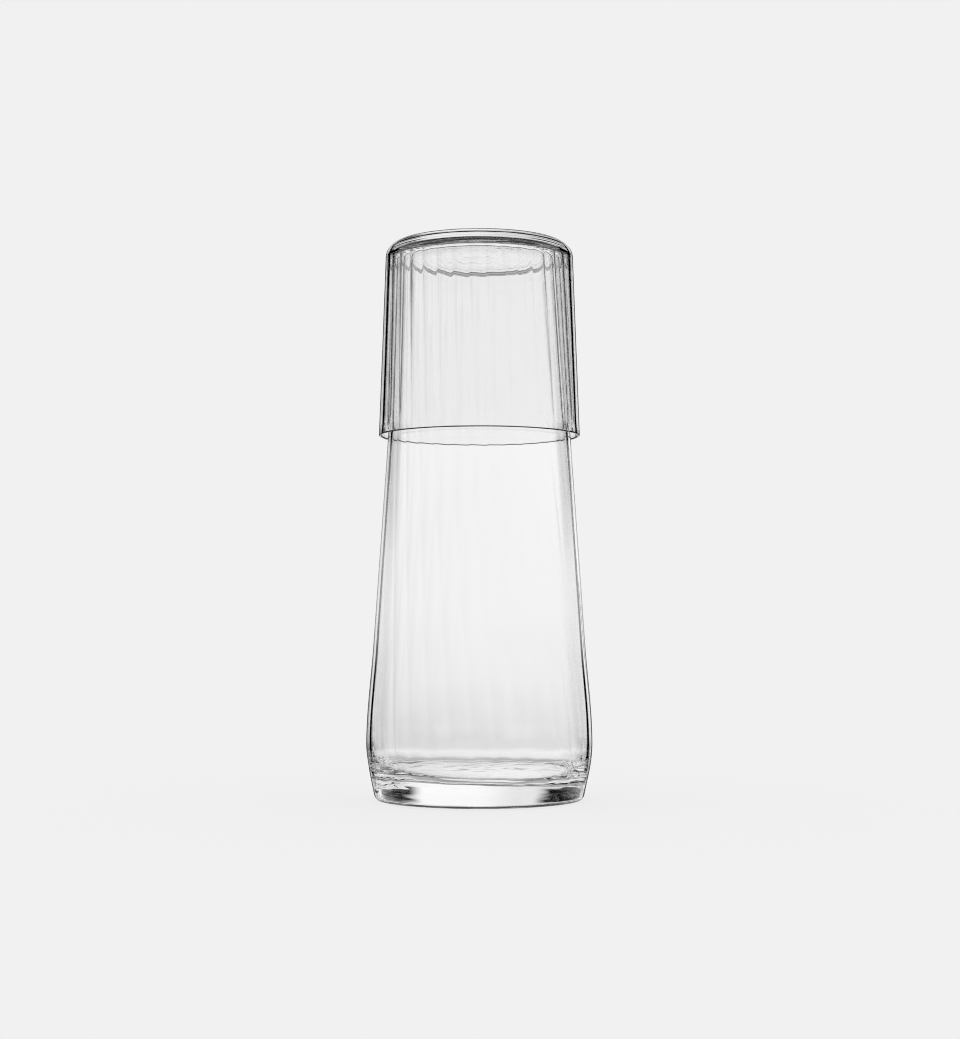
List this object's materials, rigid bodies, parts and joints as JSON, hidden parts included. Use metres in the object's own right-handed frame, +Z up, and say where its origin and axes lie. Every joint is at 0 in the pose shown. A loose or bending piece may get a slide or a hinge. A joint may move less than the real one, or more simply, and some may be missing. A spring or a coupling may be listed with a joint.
{
  "type": "carafe and tumbler set",
  "caption": "Clear ribbed glass water carafe with a thick base and a tapering neck, and a matching tumbler that sits upside down over the neck as its lid.",
  "frame": {"origin": "centre of the carafe's foot, on the surface it stands on", "axes": "+Z up along the axis of the carafe and the tumbler"},
  "size_m": [0.085, 0.085, 0.2106],
  "materials": {
    "carafe_glass": "clear, colourless, polished, with shallow upright ribs",
    "tumbler_glass": "clear, colourless, polished, with shallow upright ribs"
  },
  "bodies": {
    "carafe": {"carafe": "carafe_glass"},
    "tumbler": {"tumbler": "tumbler_glass"}
  },
  "joints": [
    {"name": "tumbler_lift", "type": "slide", "parent": "carafe", "child": "tumbler", "axis": [0, 0, 1], "range_m": [0, 0.085]}
  ]
}
